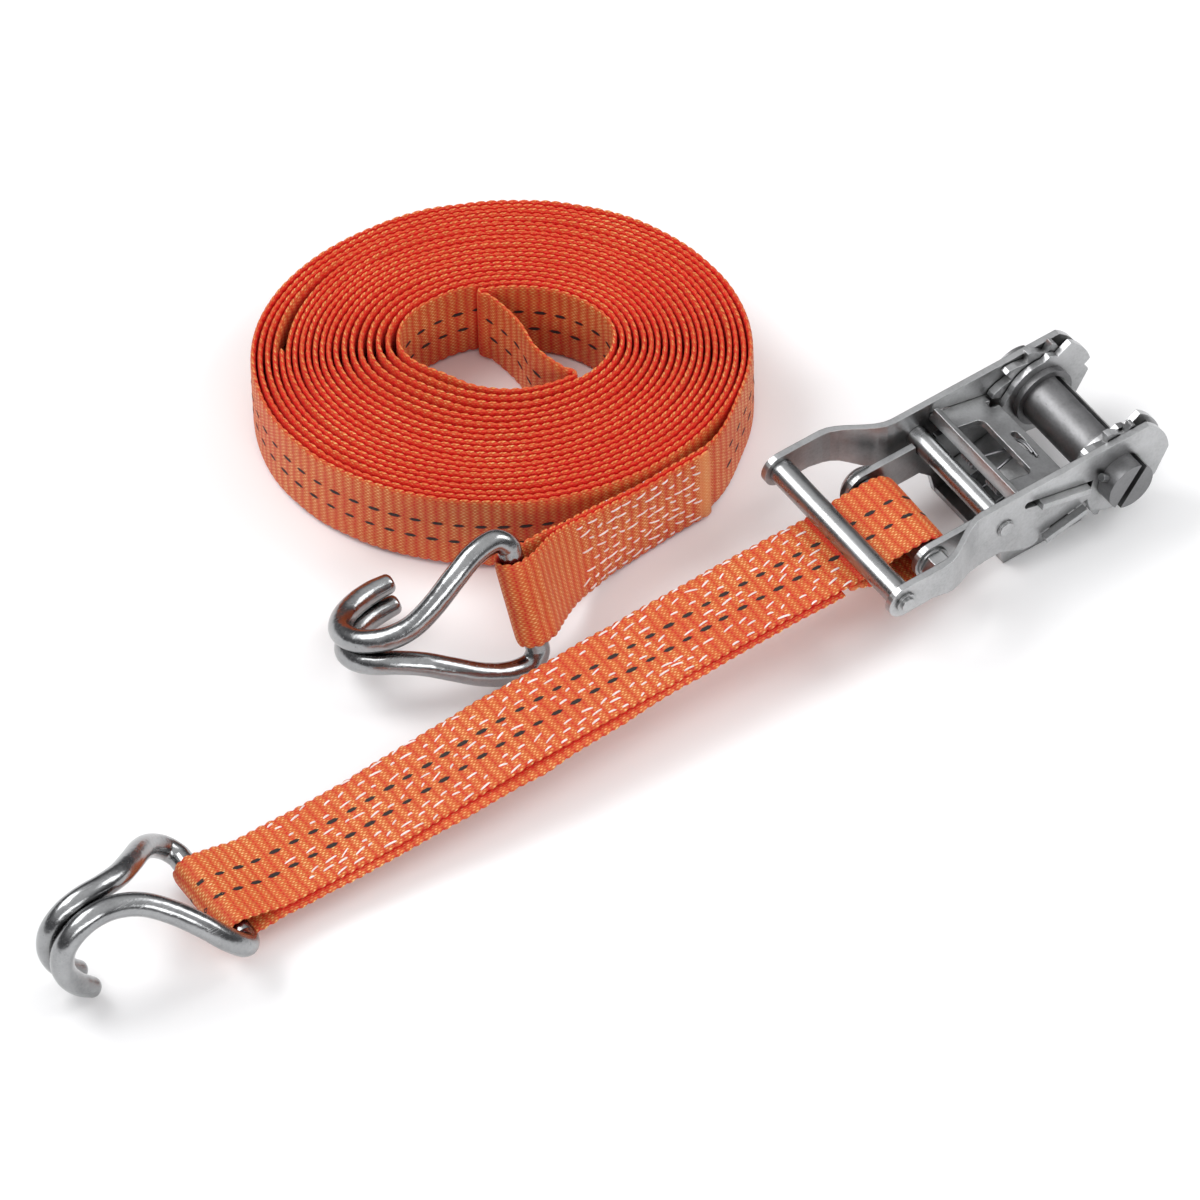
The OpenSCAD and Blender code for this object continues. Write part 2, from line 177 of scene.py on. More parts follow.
def metal(name, colour, rough, brushed=0.0, bevel=0.25, corner_shade=0.5, dents=0.35):
    """Plated steel: mottled, finely scratched, with rounded edges and shade painted dark into the
    corners.
    """
    material, n, shader = new_material(name)
    place = n.add("TexCoord", out=3)
    stretched = n.add("Mapping", {"Vector": place,
                                  "Scale": (0.06, 1.0, 1.0) if brushed else (1.0, 1.0, 1.0)})
    mottle = n.add("TexNoise", {"Vector": place, "Scale": 95.0, "Detail": 5.0, "Roughness": 0.62})
    crystals = n.add("TexVoronoi", {"Vector": place, "Scale": 900.0}, feature="F1")
    streaks = n.add("TexNoise", {"Vector": stretched, "Scale": 2600.0, "Detail": 3.0})
    scratch_at = n.add("Mapping", {"Vector": place, "Rotation": (0.3, 0.5, 0.7),
                                   "Scale": (0.02, 1.0, 1.0)})
    scratches = n.ramp(n.add("TexNoise", {"Vector": scratch_at, "Scale": 1500.0, "Detail": 1.0}),
                       [(0.66, (0, 0, 0)), (0.72, (1, 1, 1))])
    dark = tuple(c * 0.72 for c in colour)
    tint = n.mix(n.ramp(mottle, [(0.32, (0, 0, 0)), (0.68, (1, 1, 1))]), dark, colour)
    pale = tuple(min(1, c * 1.12) for c in colour)
    tint = n.mix(n.math("MULTIPLY", crystals, 0.5), tint, pale)
    # Painted shade: the colour goes towards near black in the corners and recesses that the ambient
    # occlusion finds.
    occluded = n.add("AmbientOcclusion", {"Distance": 0.006}, out=1, samples=6)
    painted_shade = n.math("MULTIPLY", n.math("SUBTRACT", 1.0, occluded), corner_shade, clamp=True)
    tint = n.mix(painted_shade, tint, (0.05, 0.047, 0.044))
    n.link(tint, shader.inputs["Base Color"])
    shader.inputs["Metallic"].default_value = 1.0
    roughness = n.math("ADD", n.math("MULTIPLY", mottle, 0.22), rough - 0.08)
    roughness = n.math("ADD", roughness, n.math("MULTIPLY", scratches, 0.12), clamp=True)
    n.link(roughness, shader.inputs["Roughness"])
    edge = n.add("Bevel", {"Radius": bevel * MM}, samples=4)
    dent = n.add("TexNoise", {"Vector": place, "Scale": 190.0, "Detail": 2.0})
    normal = n.add("Bump", {"Height": dent, "Strength": dents, "Distance": 0.00035, "Normal": edge})
    normal = n.add("Bump", {"Height": streaks, "Strength": 0.10 + brushed, "Distance": 0.00006,
                            "Normal": normal})
    normal = n.add("Bump", {"Height": scratches, "Strength": 0.2, "Distance": 0.00004,
                            "Normal": normal}, invert=True)
    n.link(normal, shader.inputs["Normal"])
    return material


ZINC = metal("zinc_plate", (0.52, 0.525, 0.53), 0.30, bevel=0.45, corner_shade=0.8)
BRIGHT = metal("bright_zinc", (0.42, 0.425, 0.43), 0.25, bevel=0.3, dents=0.15)
DRUM = metal("turned_drum", (0.25, 0.25, 0.255), 0.42, brushed=0.25, dents=0.5)
HOOK = metal("hook_wire", (0.36, 0.365, 0.37), 0.19, corner_shade=0.9, dents=0.6)
SPRING = metal("spring_wire", (0.30, 0.30, 0.31), 0.35, bevel=0.05)
SLOT_LOOK = {"zinc_plate": ZINC, "bright_steel": BRIGHT, "drum_steel": DRUM, "hook_wire": HOOK,
             "spring_wire": SPRING}

# The webbing's texture coordinates count ribs along the length (u) and yarns across the width (v).
RIB = 3.9 * MM
YARN = 0.85 * MM


def webbing():
    material, n, shader = new_material("orange_webbing")
    uv = n.add("UVMap", uv_map="weave")
    u, v = n.add("SeparateXYZ", {0: uv}), n.add("SeparateXYZ", {0: uv}, out=1)
    wobble_at = n.add("Mapping", {"Vector": uv, "Scale": (0.8, 0.25, 1)})
    wobble = n.add("TexNoise", {"Vector": wobble_at, "Scale": 1.0})
    # every second yarn is offset by half a knot
    shift = n.math("MULTIPLY", n.math("MODULO", n.math("ABSOLUTE", n.math("FLOOR", v)), 2.0), 0.5)
    across = n.math("ABSOLUTE", n.math("SINE", n.math("MULTIPLY", v, math.pi)))
    rib_at = n.math("ADD", u, n.math("MULTIPLY", n.math("SUBTRACT", wobble, 0.5), 0.5))
    rib = n.math("ABSOLUTE", n.math("SINE", n.math("MULTIPLY", rib_at, math.pi)))
    knot_at = n.math("ADD", n.math("MULTIPLY", rib_at, 2.0), shift)
    knot = n.math("ABSOLUTE", n.math("SINE", n.math("MULTIPLY", knot_at, math.pi)))
    yarn = n.math("MULTIPLY", n.math("POWER", across, 0.6),
                  n.math("ADD", n.math("MULTIPLY", knot, 0.75), 0.25))
    fibre_at = n.add("Mapping", {"Vector": uv, "Scale": (2.2, 9.0, 1.0)})
    fibre = n.add("TexNoise", {"Vector": fibre_at, "Scale": 2.6, "Detail": 3.0, "Roughness": 0.7})
    big = n.add("TexNoise", {"Vector": n.add("TexCoord", out=3), "Scale": 34.0, "Detail": 3.0})
    height = n.math("ADD", n.math("MULTIPLY", rib, 0.36), n.math("MULTIPLY", yarn, 0.64))
    tone = n.math("ADD", height, n.math("MULTIPLY", n.math("SUBTRACT", fibre, 0.5), 0.60))
    tone = n.math("ADD", tone, n.math("MULTIPLY", n.math("SUBTRACT", big, 0.5), 0.30))
    # Over the orange of the dye and its random tone, the colour follows the weave's height: painted
    # shade of deep red in the low places and a painted pale yellow highlight on the raised yarns.
    colour = n.ramp(tone, [
        (0.05, (0.56, 0.004, 0.010)), (0.25, (0.58, 0.035, 0.014)), (0.50, (0.59, 0.095, 0.020)),
        (0.78, (0.62, 0.155, 0.035)), (0.92, (0.74, 0.36, 0.11)), (1.0, (0.86, 0.58, 0.26))])
    # the first rib and a third are the pale, heat-sealed end
    cut = n.math("MULTIPLY", n.math("SUBTRACT", 1.35, u), 5.0, clamp=True)
    colour = n.mix(n.math("MULTIPLY", cut, 0.55), colour, (0.80, 0.34, 0.12))
    # Painted shade in the crevices: where the ambient occlusion finds them, the colour turns a
    # saturated red, standing in for the light that bounces red between the turns.
    deep = n.add("AmbientOcclusion", {"Distance": 0.003}, out=1, samples=6)
    painted_crevice_shade = n.math("MULTIPLY", n.math("SUBTRACT", 1.0, deep), 1.15, clamp=True)
    colour = n.mix(painted_crevice_shade, colour, (0.80, 0.004, 0.016))
    roughness = n.math("SUBTRACT", 0.72, n.math("MULTIPLY", height, 0.28))
    n.link(colour, shader.inputs["Base Color"])
    n.link(roughness, shader.inputs["Roughness"])
    shader.inputs["Specular IOR Level"].default_value = 0.35
    shader.inputs["Subsurface Weight"].default_value = 0.18
    shader.inputs["Subsurface Radius"].default_value = (1.0, 0.12, 0.06)
    shader.inputs["Subsurface Scale"].default_value = 0.0015
    shader.inputs["Sheen Weight"].default_value = 0.10
    shader.inputs["Sheen Roughness"].default_value = 0.4
    shader.inputs["Sheen Tint"].default_value = (1.0, 0.6, 0.35, 1)
    bump = n.add("Bump", {"Height": height, "Strength": 0.8, "Distance": 0.00032})
    bump = n.add("Bump", {"Height": fibre, "Strength": 0.35, "Distance": 0.00010, "Normal": bump})
    n.link(bump, shader.inputs["Normal"])
    return material


def yarn_material(name, dark, light, rough):
    material, n, shader = new_material(name)
    place = n.add("Mapping", {"Vector": n.add("TexCoord", out=3), "Scale": (0.35, 1.0, 1.0)})
    fibre = n.add("TexNoise", {"Vector": place, "Scale": 5200.0, "Detail": 3.0})
    broad = n.add("TexNoise", {"Vector": place, "Scale": 300.0})
    tone = n.math("ADD", n.math("MULTIPLY", fibre, 0.6), n.math("MULTIPLY", broad, 0.4))
    n.link(n.ramp(tone, [(0.3, dark), (0.6, light)]), shader.inputs["Base Color"])
    n.link(n.math("ADD", rough, n.math("MULTIPLY", fibre, 0.2)), shader.inputs["Roughness"])
    bump = n.add("Bump", {"Height": fibre, "Strength": 0.5, "Distance": 0.0001})
    n.link(bump, shader.inputs["Normal"])
    return material


WEB = webbing()
THREAD = yarn_material("white_thread", (0.62, 0.44, 0.38), (0.92, 0.86, 0.83), 0.35)
TRACER = yarn_material("black_tracer", (0.006, 0.004, 0.004), (0.022, 0.014, 0.012), 0.65)


# ---------------------------------------------------------------- mesh helpers

def make_object(name, points, faces, material, body, uv=None):
    mesh = bpy.data.meshes.new(name)
    mesh.from_pydata([tuple(p) for p in points], [], faces)
    mesh.materials.append(material)
    mesh.polygons.foreach_set("use_smooth", [True] * len(mesh.polygons))
    if uv is not None:
        layer = mesh.uv_layers.new(name="weave")
        corner = np.zeros(len(mesh.loops), np.int64)
        mesh.loops.foreach_get("vertex_index", corner)
        layer.data.foreach_set("uv", np.asarray(uv, np.float32)[corner].ravel())
    mesh.update()
    obj = bpy.data.objects.new(name, mesh)
    scene.collection.objects.link(obj)
    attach(obj, body)
    return obj


def rows_to_faces(rings, sides, start=0):
    """Quads between consecutive rings of `sides` points each, with flat ends."""
    i, k = np.meshgrid(np.arange(rings - 1), np.arange(sides), indexing="ij")
    a = start + i * sides + k
    b = start + i * sides + (k + 1) % sides
    faces = np.stack([a, b, b + sides, a + sides], -1).reshape(-1, 4).tolist()
    faces.append([start + k for k in range(sides - 1, -1, -1)])
    faces.append([start + (rings - 1) * sides + k for k in range(sides)])
    return faces


def unit(v):
    return v / np.maximum(np.linalg.norm(v, axis=-1, keepdims=True), 1e-12)


def lengths(points):
    """The distance along the points, starting at 0."""
    return np.concatenate([[0], np.cumsum(np.linalg.norm(np.diff(points, axis=0), axis=1))])


def catmull(points, steps):
    """A smooth curve through the points, with `steps` steps a span."""
    p = np.asarray(points, float)
    out = []
    for i in range(len(p) - 1):
        a, b, c, d = p[max(i - 1, 0)], p[i], p[i + 1], p[min(i + 2, len(p) - 1)]
        for t in np.arange(steps) / steps:
            out.append(0.5 * (2 * b + (c - a) * t + (2 * a - 5 * b + 4 * c - d) * t ** 2
                              + (3 * b - a - 3 * c + d) * t ** 3))
    return np.array(out + [p[-1]])


def tube(name, points, radius, material, body, sides=24):
    """A round wire along the points; radius is one number or one for each point."""
    p = np.asarray(points, float)
    r = np.broadcast_to(np.asarray(radius, float), (len(p),))
    t = unit(np.gradient(p, axis=0))
    side = np.cross(t[0], (0.31, 0.08, 0.95))       # any direction that is not along the wire
    a = np.arange(sides) * 2 * math.pi / sides
    rings = []
    for i in range(len(p)):
        side = side - t[i] * np.dot(side, t[i])
        side = side / np.linalg.norm(side)
        other = np.cross(t[i], side)
        rings.append(p[i] + r[i] * (np.cos(a)[:, None] * side + np.sin(a)[:, None] * other))
    return make_object(name, np.concatenate(rings), rows_to_faces(len(p), sides), material, body)


# ---------------------------------------------------------------- webbing

WIDTH = 35 * MM
PLY = 2.0 * MM


class Strap:
    """A centre line with the width direction at each point, sampled evenly along its length."""

    def __init__(self, points, across, step=0.65 * MM):
        p, b = np.asarray(points, float), np.asarray(across, float)
        s = lengths(p)
        self.length = s[-1]
        self.s = np.linspace(0, self.length, int(self.length / step) + 1)
        self.p = np.stack([np.interp(self.s, s, p[:, k]) for k in range(3)], 1)
        self.b = unit(np.stack([np.interp(self.s, s, b[:, k]) for k in range(3)], 1))
        self.t = unit(np.gradient(self.p, axis=0))
        self.n = unit(np.cross(self.b, self.t))

    def at(self, s, w, lift):
        """Points at distance s along, w across and lift out of the middle."""
        p, b, n = (np.stack([np.interp(s, self.s, rows[:, k]) for k in range(3)], -1)
                   for rows in (self.p, self.b, self.n))
        return p + b * np.asarray(w)[..., None] + n * np.asarray(lift)[..., None]


def weave(name, strap, body, replaced, thickness=PLY, relief=0.16):
    """The strap as closed webbing: raised ribs on both faces and scalloped, thinner edges."""
    across = np.array([-1, -0.985, -0.955, -0.90, -0.75, -0.5, -0.25, 0,
                       0.25, 0.5, 0.75, 0.90, 0.955, 0.985, 1])
    edge = (1 - np.abs(across) ** 26 * 0.75) * (1 - 0.10 * np.abs(across) ** 6)
    ribs = np.abs(np.sin(math.pi * strap.s / RIB)) ** 0.75
    under = np.abs(np.cos(math.pi * strap.s / RIB)) ** 0.75
    # the edges wander a little, every 11 mm
    knots = np.arange(0, strap.length + 0.02, 0.011)
    drift = np.clip(rng.normal(0, 0.24, len(knots)), -0.4, 0.3)
    jitter = np.interp(strap.s, knots, drift)[:, None] * MM
    half = (0.5 * WIDTH - 0.90 * MM * (1 - ribs))[:, None]
    reach, reach_low = (half * a[None, :] + jitter * (np.abs(a) > 0.8)
                        for a in (across, across[::-1]))
    top = thickness / 2 * (1 - relief + relief * ribs)[:, None] * edge[None, :]
    low = -thickness / 2 * (1 - relief + relief * under)[:, None] * edge[None, ::-1]
    w = np.concatenate([reach, reach_low], 1)
    lift = np.concatenate([top, low], 1)
    # the points next to the edge lean along the strap, which gives the edge its twisted look
    lean = np.concatenate([across, across[::-1]]) ** 9 * 0.35 * MM
    points = (strap.p[:, None, :] + strap.b[:, None, :] * w[..., None]
              + strap.n[:, None, :] * lift[..., None]
              + strap.t[:, None, :] * np.broadcast_to(lean * np.sign(lift[0]), w.shape)[..., None])
    uv = np.stack([np.broadcast_to((strap.s / RIB)[:, None], w.shape), w / YARN], -1).reshape(-1, 2)
    faces = rows_to_faces(len(strap.s), w.shape[1])
    obj = make_object(name, points.reshape(-1, 3), faces, WEB, body, uv=uv)
    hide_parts(*replaced)
    return obj


def dashes(name, strap, body, start, lift=1.03 * MM):
    """Tracer yarn from `start` to the strap's end: black dashes two ribs apart, in two lines."""
    shape = np.array([(-2.1, -0.15), (-1.0, 0.62), (0.9, 0.72),
                      (2.1, 0.15), (1.0, -0.62), (-0.9, -0.72)]) * MM
    corners, raised, pitch = len(shape), 0.16 * MM, 2 * RIB
    points, polys = [], []
    for face in (1, -1):
        for k, line in enumerate((-4.4, 4.4)):
            ribs_on = 0.5 + (0.5 if k else 0) + (1 if face < 0 else 0)
            first = math.ceil(start / pitch) * 2 * RIB + ribs_on * RIB
            for s in np.arange(first, strap.length - RIB, pitch):
                size = rng.uniform(1.0, 1.25)
                ds, dw = shape[:, 0] * size + rng.normal(0, 0.12) * MM, shape[:, 1] * size
                base = len(points)
                points.extend(strap.at(s + ds, line * MM + dw, np.full(corners, face * lift)))
                points.extend(strap.at(np.array([s]), np.array([line * MM]),
                                       np.array([face * (lift + raised)])))
                polys += [[base + i, base + (i + 1) % corners, base + corners]
                          for i in range(corners)]
    return make_object(name, points, polys, TRACER, body)


def stitches(name, strap, body, rows, span, face, pitch, length, lift, slant, dropped=0.06,
             half=0.36):
    """Rows of sewing thread: short raised stitches whose ends dive into the webbing.

    The profile gives, along each stitch, its place, its rise in mm and its thickness."""
    points, polys = [], []
    profile = np.array([(-0.5, -0.25, 0.45), (-0.36, 0.10, 0.9), (0, 0.30, 1.0),
                        (0.36, 0.10, 0.9), (0.5, -0.25, 0.45)])
    sides = 8
    ring = np.arange(sides) * 2 * math.pi / sides
    for number, row in enumerate(rows):
        drift = rng.normal(0, 0.35)
        for s in np.arange(span[0] + (number % 2) * pitch / 2, span[1], pitch):
            if rng.random() < dropped:
                continue
            long = length * rng.uniform(0.5, 1.4)
            wide = half * MM * rng.uniform(0.85, 1.2)
            s0 = s + rng.normal(0, 0.7) * MM
            wave = 0.4 * math.sin(s / 0.021 + number)
            w0 = (row + drift + wave) * MM + rng.normal(0, 0.3) * MM
            tilt = slant + rng.normal(0, 0.17)
            base = len(points)
            for f, up, thick in profile:
                ds, dw = f * long * math.cos(tilt), f * long * math.sin(tilt)
                rise = lift + up * MM * 0.6 + np.sin(ring) * 0.30 * MM * thick
                points.extend(strap.at(np.full(sides, s0 + ds),
                                       w0 + dw + np.cos(ring) * wide * thick, face * rise))
            polys += rows_to_faces(len(profile), sides, start=base)
    return make_object(name, points, polys, THREAD, body)


# ---------------------------------------------------------------- fixed strap

BOLT = np.array([-49.0, 19.5])      # middle of the strap's loop round the bolt, x and z in mm
BAR = np.array([-334.5, 13.5])      # the fixed hook's bar
LOOP_R, BAR_R = 9.8, 5.7
YAW = math.radians(-1.4)            # the strap's turn about the bolt, seen from above
STRAP_MID = [(-78, 25.5), (-110, 25.5), (-145, 24.7), (-180, 22.9), (-215, 20.1), (-250, 16.2),
             (-285, 13.2), (-306, 12.5), (-317, 12.7)]


def at_bolt(points):
    """Points in mm turned with the strap about the upright line through the bolt."""
    p = np.asarray(points, float) - (BOLT[0], 0, 0)
    return np.stack([p[:, 0] * math.cos(YAW) - p[:, 1] * math.sin(YAW) + BOLT[0],
                     p[:, 0] * math.sin(YAW) + p[:, 1] * math.cos(YAW), p[:, 2]], 1)


def arc(c, r, a0, a1, k):
    a = np.radians(np.linspace(a0, a1, k))
    return np.stack([c[0] + r * np.cos(a), c[1] + r * np.sin(a)], 1)


def chained(pieces, step=1.5):
    """The pieces end to end, the gaps between them filled with points `step` mm apart."""
    out = [pieces[0]]
    for piece in pieces[1:]:
        gap = np.linalg.norm(piece[0] - out[-1][-1])
        out += [np.linspace(out[-1][-1], piece[0], int(gap / step) + 2)[1:-1], piece]
    return np.concatenate(out)


def fixed_strap():
    middle = catmull(STRAP_MID, 8)
    gap, split = 1.12, 2
    upper, lower = middle + (0, gap), middle - (0, gap)
    # from the butt joint in the lower ply to the bolt, back over the top, and round the bar
    line = chained([lower[:split][::-1], arc(BOLT, LOOP_R, 239, 454, 44),
                    upper, arc(BAR, BAR_R, 78, 282, 26), lower[split:][::-1]])
    line = line[np.concatenate([[True], np.linalg.norm(np.diff(line, axis=0), axis=1) > 0.2])]
    fine = catmull(line, 6)
    along = lengths(fine)
    # the lower ply shows past the upper one on the near side, most of all at mid-span
    end = along[-1]
    shift = np.interp(along, [0, 30, 60, 100, 150, end - 285, end - 250, end - 130, end - 50, end],
                      [-1.2, -0.8, -0.3, -0.6, -1.4, 0, -1.5, -5.5, -2.6, -1.3])
    ripple = 0.22 * np.sin(along / 17.0) + 0.15 * np.sin(along / 7.3 + 1.0)
    points = at_bolt(np.stack([fine[:, 0], shift + 0.25 * np.sin(along / 60),
                               fine[:, 1] + ripple], 1)) * MM
    strap = Strap(points, np.tile((-math.sin(YAW), math.cos(YAW), 0.0), (len(points), 1)))
    web = weave("fixed_webbing", strap, "fixed_strap", ["fixed_strap"], relief=0.10)
    x, order = strap.p[:, 0] / MM, np.arange(len(strap.s))
    inside = (x > -303) & (x < -82)
    top_s = strap.s[inside & (order < np.argmin(x)) & (order > np.argmax(x))]
    low_s = strap.s[inside & (order > np.argmin(x))]
    face = 1 if np.interp(top_s.mean(), strap.s, strap.n[:, 2]) > 0 else -1
    rows = (-15.6, -12.4, -9.2, -1.4, 1.2, 8.6, 11.8, 15.4)
    threads = [stitches("fixed_thread_" + side, strap, "fixed_strap", rows,
                        (part.min(), part.max()), face, pitch=6.6 * MM, length=3.7 * MM,
                        lift=0.97 * MM, slant=-0.08, dropped=0.16, half=0.38)
               for side, part in (("top", top_s), ("under", low_s))]
    marks = dashes("fixed_tracer", strap, "fixed_strap", 0)


fixed_strap()


# ---------------------------------------------------------------- loose strap

COIL_C = np.array([-121.3, 138.9])
TURN = math.radians(-33)
OUT_AXES, HOLE_AXES, HOLE_C = (88.5, 72.5), (36.0, 23.5), (2.3, 5.9)
LAST_LAYER = 19.8
CUT_END = 3011.0                    # how far arm A has turned when it passes over arm B's cut end
MID_Z = 17.95                       # height of the coil's middle over the floor


def coil_point(angle, layer):
    """A point of the coil in its own axes, in mm, from layer 0 at the hole to LAST_LAYER."""
    a = np.radians(angle)
    # the hole is narrower at its front left, where the inner turns are loose
    away = (np.mod(angle, 360) - 226.0) / 30.0
    narrow = 1 - 0.15 * np.exp(-away * away)
    hole = np.stack([HOLE_AXES[0] * narrow * np.cos(a) + HOLE_C[0],
                     HOLE_AXES[1] * narrow * np.sin(a) + HOLE_C[1]], -1)
    outer = np.stack([OUT_AXES[0] * np.cos(a), OUT_AXES[1] * np.sin(a)], -1)
    f = (layer + 0.15) / (LAST_LAYER + 0.05)
    loose = 0.5 + 0.5 * np.cos(a - math.radians(205))
    f = f + 0.12 * loose * np.sin(math.pi * np.clip(f, 0, 1)) * (1 - np.clip(f, 0, 1))
    return hole + (outer - hole) * f[..., None]


def to_row(p):
    """From the coil's axes to the row's, in mm."""
    x = p[..., 0] * math.cos(TURN) - p[..., 1] * math.sin(TURN)
    y = p[..., 0] * math.sin(TURN) + p[..., 1] * math.cos(TURN)
    return np.stack([x + COIL_C[0], y + COIL_C[1]], -1)


def from_row(p):
    """From the row's axes to the coil's, in mm."""
    d = np.asarray(p, float) - COIL_C
    return np.stack([d[..., 0] * math.cos(TURN) + d[..., 1] * math.sin(TURN),
                     -d[..., 0] * math.sin(TURN) + d[..., 1] * math.cos(TURN)], -1)


def hermite(p0, m0, p1, m1, k):
    """k points from p0 to p1, leaving along m0 and arriving along m1."""
    t = np.linspace(0, 1, k)[:, None]
    return ((2 * t ** 3 - 3 * t ** 2 + 1) * p0 + (t ** 3 - 2 * t ** 2 + t) * m0
            + (-2 * t ** 3 + 3 * t ** 2) * p1 + (t ** 3 - t ** 2) * m1)


BAR_AT = np.array([-178.0, 44.0, 29.0])             # the loose hook's bar
LEAN = 22.7                                         # the bar's lean from upright, in degrees
SWING = -48                                         # the hook's turn about that bar, in degrees
# The tail's middle: x, y, z and lean in degrees
TAIL = np.array([(-84, 58.3, MID_Z, 0), (-91, 58.2, MID_Z, 0), (-106, 57.9, MID_Z, 0),
                 (-119, 57.4, 18, 0.5), (-134, 56.4, 18.8, 4), (-148, 53.7, 21.3, 10),
                 (-160, 49.7, 24.8, 17), (-171.2, 45.2, 28.2, 22),
                 (BAR_AT[0], BAR_AT[1], BAR_AT[2], LEAN), (-190, BAR_AT[1], BAR_AT[2], LEAN)])


def tail_line(flat):
    """Points (x, offset from the tail's middle) in space, with the width direction of each."""
    x, off = flat[:, 0], flat[:, 1]
    y, z, lean = (np.interp(-x, -TAIL[:, 0], TAIL[:, k]) for k in (1, 2, 3))
    lean = np.radians(lean)
    points = np.stack([x, y + off * np.cos(lean), z - off * np.sin(lean)], 1)
    across = np.stack([np.zeros_like(x), np.sin(lean), np.cos(lean)], 1)
    return points, across


def loose_strap():
    # arm A carries the tail and starts at the hole's front right, arm B at its back left
    turn_a, turn_b = np.arange(0, 4285, 2.0), np.arange(0, 2806, 2.0)
    # each later turn of arm A steps in by one layer where it passes arm B's cut end
    steps = [np.clip((turn_a - CUT_END - 360 * k) / 50, 0, 1) for k in range(4)]
    layer_a = turn_a / 180 - sum(t * t * (3 - 2 * t) for t in steps)
    layer_b = turn_b / 180 + 0.14 * np.clip(turn_b / 180, 0, 1)
    arm_a = coil_point(-54 - turn_a, layer_a)
    arm_b = coil_point(101 - turn_b, layer_b)
    arm_a, arm_b = (p + 0.12 * np.stack([np.sin(s / 9.0), np.cos(s / 11.0)], -1)
                    for p, s in ((arm_a, turn_a), (arm_b, turn_b + 40)))
    # the middle of the strap crosses the hole from one tight fold to the other
    start_a, start_b = arm_a[0], arm_b[0]
    way_a, way_b = unit(start_a - arm_a[1]), unit(arm_b[1] - start_b)
    cross = start_b - start_a
    ahead = unit(cross)
    left = np.array([-ahead[1], ahead[0]])
    # each fold: how far the strap goes on its way, along the crossing, and to its left
    fold = ((0, 0, 0), (2.2, 0, 0), (3.4, 2.2, 0.4), (2.4, 5.2, 1.6))
    fold_a = [start_a + way_a * on + ahead * go + left * out for on, go, out in fold]
    fold_b = [start_b - way_b * on - ahead * go - left * out for on, go, out in fold[::-1]]
    sag = left * 1.8
    strand = [start_a + cross * 0.36 + sag, start_a + cross * 0.64 - sag * 0.4]
    middle = catmull(np.array(fold_a + strand + fold_b), 12)
    # the tail leaves the outermost turn on the right and runs to the hook's bar and back
    out = [(x, 1.1) for x in (-92, -106, -120, -133, -145)]
    out += [(-155, 1.3), (-163.5, 2.7), (-170.5, 4.6)]
    loop_r = 5.75
    wrap = [(BAR_AT[0] + loop_r * math.cos(a), -loop_r * math.sin(a))
            for a in np.radians(np.linspace(72, 288, 16))]
    flat_out = [(-89, -1.1)] + [(x, -o) for x, o in out[1:]] + wrap + out[::-1]
    tail, tail_b = tail_line(catmull(flat_out, 8))
    joined = from_row(tail[-1, :2])
    exit_way = from_row(tail[-1, :2] + np.array([20.0, 0])) - joined
    start_way = arm_a[-2] - arm_a[-1]
    span = np.linalg.norm(arm_a[-1] - joined)
    bridge = hermite(joined, unit(exit_way) * span, arm_a[-1], unit(start_way) * span, 24)[1:-1]
    flat = np.concatenate([bridge, arm_a[::-1], middle[1:-1], arm_b])
    wound = to_row(flat)
    points = np.concatenate([tail, np.column_stack([wound, np.full(len(wound), MID_Z)])]) * MM
    across = np.concatenate([tail_b, np.tile((0.0, 0.0, 1.0), (len(wound), 1))])
    strap = Strap(points, across)
    # each turn stands a little higher or lower than its neighbours
    tail_len, blend = lengths(tail)[-1] * MM, 0.05
    grid = np.arange(0, strap.length + 0.09, 0.045)
    uneven = np.interp(strap.s, grid, rng.uniform(-0.35, 0.35, len(grid))) * MM
    strap.p[:, 2] += uneven * np.clip((strap.s - tail_len - blend) / blend, 0, 1)
    web = weave("loose_webbing", strap, "loose_strap",
                ["loose_strap_coil", "loose_strap_core", "loose_strap_tail"], thickness=1.95 * MM)
    face = 1 if strap.n[20, 1] < 0 else -1
    rows = (-14.6, -10.6, -6.4, -2.2, 2.2, 6.4, 10.6, 14.6)
    sewn = (("front", (0.006, 0.061)), ("back", (tail_len - 0.058, tail_len - 0.003)))
    front, back = (stitches("tail_thread_" + side, strap, "loose_strap", rows, part, face,
                            pitch=5.5 * MM, length=3.9 * MM, lift=0.95 * MM, slant=-0.05)
                   for side, part in sewn)
    marks = dashes("loose_tracer", strap, "loose_strap", tail_len + 0.01, lift=1.0 * MM)


loose_strap()


# ---------------------------------------------------------------- hooks, springs and wire

# Half of a hook's wire in mm, from the middle of its bar to the tip
HOOK_ARM = [(0, 0, 0), (0, 17.5, 0), (-0.3, 22.5, 0.4), (-3.5, 26, 3.2), (-9.5, 24.8, 9.5),
            (-16, 20, 16.5), (-23.5, 13.5, 22.3), (-31.5, 8, 26.5), (-40, 5.2, 28.8),
            (-48.5, 4.45, 29.2), (-56, 4.4, 26.5), (-61.5, 4.4, 20.5), (-63, 4.4, 12.5),
            (-61.2, 4.4, 4.5), (-57, 4.4, -2.8), (-51, 4.4, -9)]
HOOK_R = 4.27


def hook(name, node, body, place):
    half = catmull(HOOK_ARM, 9)
    other = half[1:].copy()
    other[:, 1] *= -1
    line = np.concatenate([other[::-1], half])
    s = lengths(line)
    # the wire narrows over its last 13 mm, with a rounded end
    to_tip = np.minimum(s, s[-1] - s)
    r = HOOK_R * np.interp(to_tip, [0, 0.35, 1.2, 7.0, 13.0], [0.66, 0.78, 0.86, 0.965, 1.0])
    line = np.array([place @ Vector(p * MM) for p in line])
    piece = tube(name, line, r * MM, HOOK, body, sides=32)
    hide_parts(node)


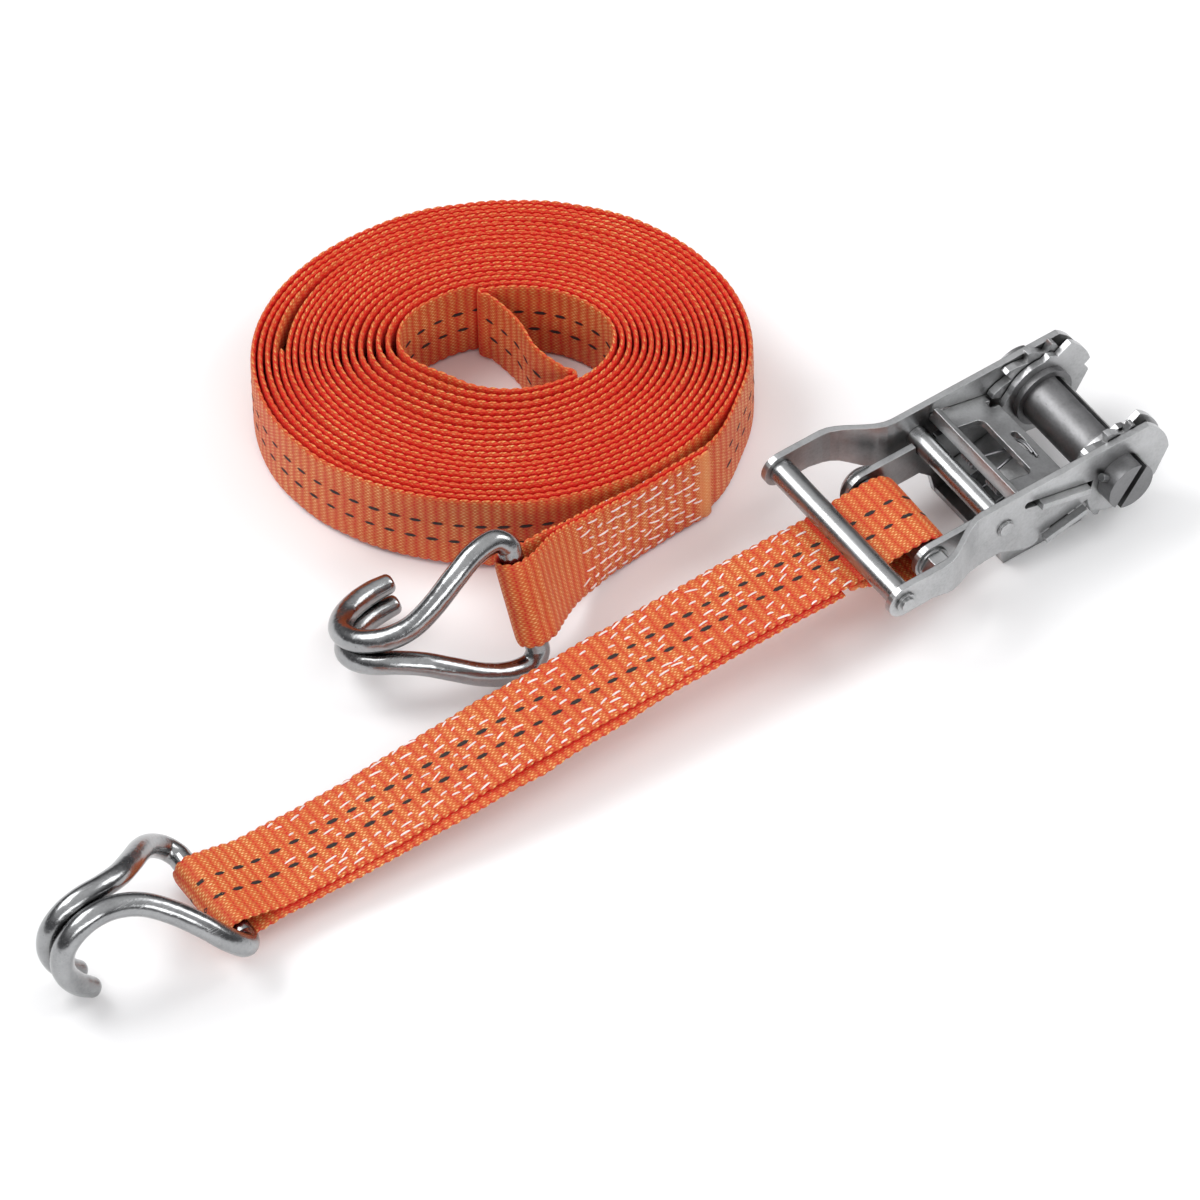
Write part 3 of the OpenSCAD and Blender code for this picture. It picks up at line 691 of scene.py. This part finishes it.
hook("fixed_hook_wire", "fixed_hook", "fixed_hook",
     Matrix.Translation(at_bolt([(BAR[0], 0, BAR[1])])[0] * MM) @ Matrix.Rotation(YAW, 4, "Z"))
hook("loose_hook_wire", "loose_hook", "loose_hook",
     Matrix.Translation(BAR_AT * MM) @ Matrix.Rotation(math.radians(90 - LEAN), 4, "X")
     @ Matrix.Rotation(math.radians(SWING), 4, "Y"))


def double_spring(name, node, body, centre, y0, y1, tip):
    """Two wound halves, from y1 in to y0, whose legs reach the pawl at tip."""
    coil_r, turns = 2.7, 5
    a = np.linspace(0, turns * 2 * math.pi, 150)
    for hand, side in (("_left", 1), ("_right", -1)):
        coil = np.stack([centre[0] + coil_r * np.sin(a), side * (y1 + (y0 - y1) * a / a[-1]),
                         centre[1] + coil_r * np.cos(a)], 1)
        end = np.array(tip) * (1, side, 1)
        leg = np.array([coil[-1], (coil[-1] + end) / 2, end])
        line = np.concatenate([coil, catmull(leg, 8)[1:]])
        tube(name + hand, line * MM, 0.6 * MM, SPRING, body, sides=12)
    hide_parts(node)


double_spring("handle_spring_coil", "handle_spring", "handle", (-10, 24.5), 4.2, 11.2,
              (3.6, 1.2, 26.4))
double_spring("frame_spring_coil", "frame_spring", "frame", (-10, 7.1), 4.2, 10.8,
              (1.0, 4.2, 11.6))


def hairpin():
    """The wire end that comes up through the pawl's small slot and lies on its plate."""
    plate, way = np.array([13.3, 0, 26.5]), math.radians(165.4)
    along = np.array([math.cos(way), 0, math.sin(way)])
    normal = np.array([math.sin(way), 0, -math.cos(way)])
    for k, (du, reach) in enumerate(((-0.5, -9.4), (0.55, -7.2))):
        # along the plate, across it and above it
        local = [(8.2 + du, 2.4, -0.7), (8.2 + du, 1.8, 0.0), (8.2 + du * 0.9, 0.2, 0.9),
                 (8.2 + du, -2.4, 1.75), (8.3 + du * 0.8, -5.0, 1.78),
                 (8.6 + du * 0.6, reach, 1.80)]
        line = [plate + along * u + normal * h + np.array([0, y, 0]) for u, y, h in local]
        tube(f"pawl_hairpin_{k}", catmull(line, 8) * MM, 0.5 * MM, SPRING, "handle_pawl",
             sides=12)


hairpin()


# ---------------------------------------------------------------- finishes of the CAD parts

slots = {s["node"]: s["material_slot"] for s in frame["record"]["subparts"]}
for name, obj in nodes.items():
    obj.data.materials.clear()
    obj.data.materials.append(SLOT_LOOK.get(slots[name], WEB))
